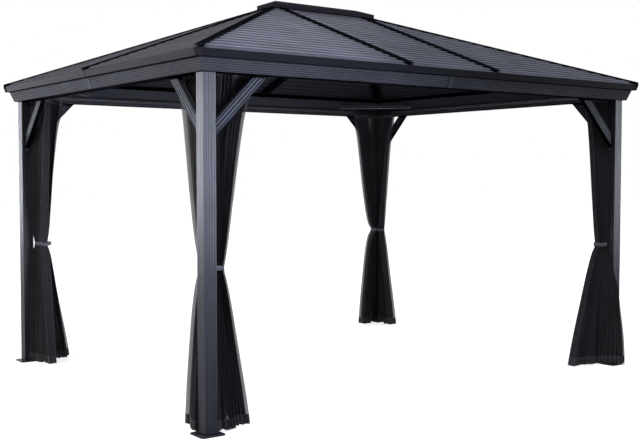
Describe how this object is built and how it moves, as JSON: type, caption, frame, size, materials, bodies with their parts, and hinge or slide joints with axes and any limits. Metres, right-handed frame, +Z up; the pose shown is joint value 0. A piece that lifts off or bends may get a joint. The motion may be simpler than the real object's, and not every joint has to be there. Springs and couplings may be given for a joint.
{
  "type": "metal gazebo",
  "caption": "Open rectangular garden gazebo with corner posts, fluted cornice, ribbed hipped metal roof and gathered corner netting curtains.",
  "frame": {"origin": "on the ground, at the middle of the plan", "axes": "+X along the long sides, +Y from the front long side to the back, +Z up"},
  "size_m": [3.6858, 2.9438, 2.6509],
  "materials": {
    "frame": "charcoal powder coat, satin",
    "roof_sheet": "blue-grey baked enamel on ribbed steel sheet, satin",
    "roof_bar": "near-black powder coat, satin",
    "fittings": "grey powder coat, satin",
    "netting": "black knitted insect netting",
    "strap": "dark grey woven strap"
  },
  "bodies": {
    "root": {"back_centre_roof_panel": "roof_sheet", "back_cornice": "frame", "back_left_base_plate": "frame", "back_left_braces": "frame", "back_left_curtain": "netting", "back_left_hip_bar": "roof_bar", "back_left_post": "frame", "back_left_roof_panel": "roof_sheet", "back_rafters": "roof_bar", "back_right_base_plate": "frame", "back_right_braces": "frame", "back_right_curtain": "netting", "back_right_hip_bar": "roof_bar", "back_right_post": "frame", "back_right_roof_panel": "roof_sheet", "corner_ties": "fittings", "cornice_corner_caps": "frame", "cornice_splice_sleeves": "frame", "curtain_rails": "fittings", "curtain_straps": "strap", "end_rafters": "roof_bar", "front_centre_roof_panel": "roof_sheet", "front_cornice": "frame", "front_left_base_plate": "frame", "front_left_braces": "frame", "front_left_curtain": "netting", "front_left_hip_bar": "roof_bar", "front_left_post": "frame", "front_left_roof_panel": "roof_sheet", "front_rafters": "roof_bar", "front_right_base_plate": "frame", "front_right_braces": "frame", "front_right_curtain": "netting", "front_right_hip_bar": "roof_bar", "front_right_post": "frame", "front_right_roof_panel": "roof_sheet", "left_back_roof_panel": "roof_sheet", "left_cornice": "frame", "left_front_roof_panel": "roof_sheet", "ridge_beam": "roof_bar", "ridge_cap": "roof_bar", "ridge_hubs": "roof_bar", "right_back_roof_panel": "roof_sheet", "right_cornice": "frame", "right_front_roof_panel": "roof_sheet"}
  },
  "joints": []
}
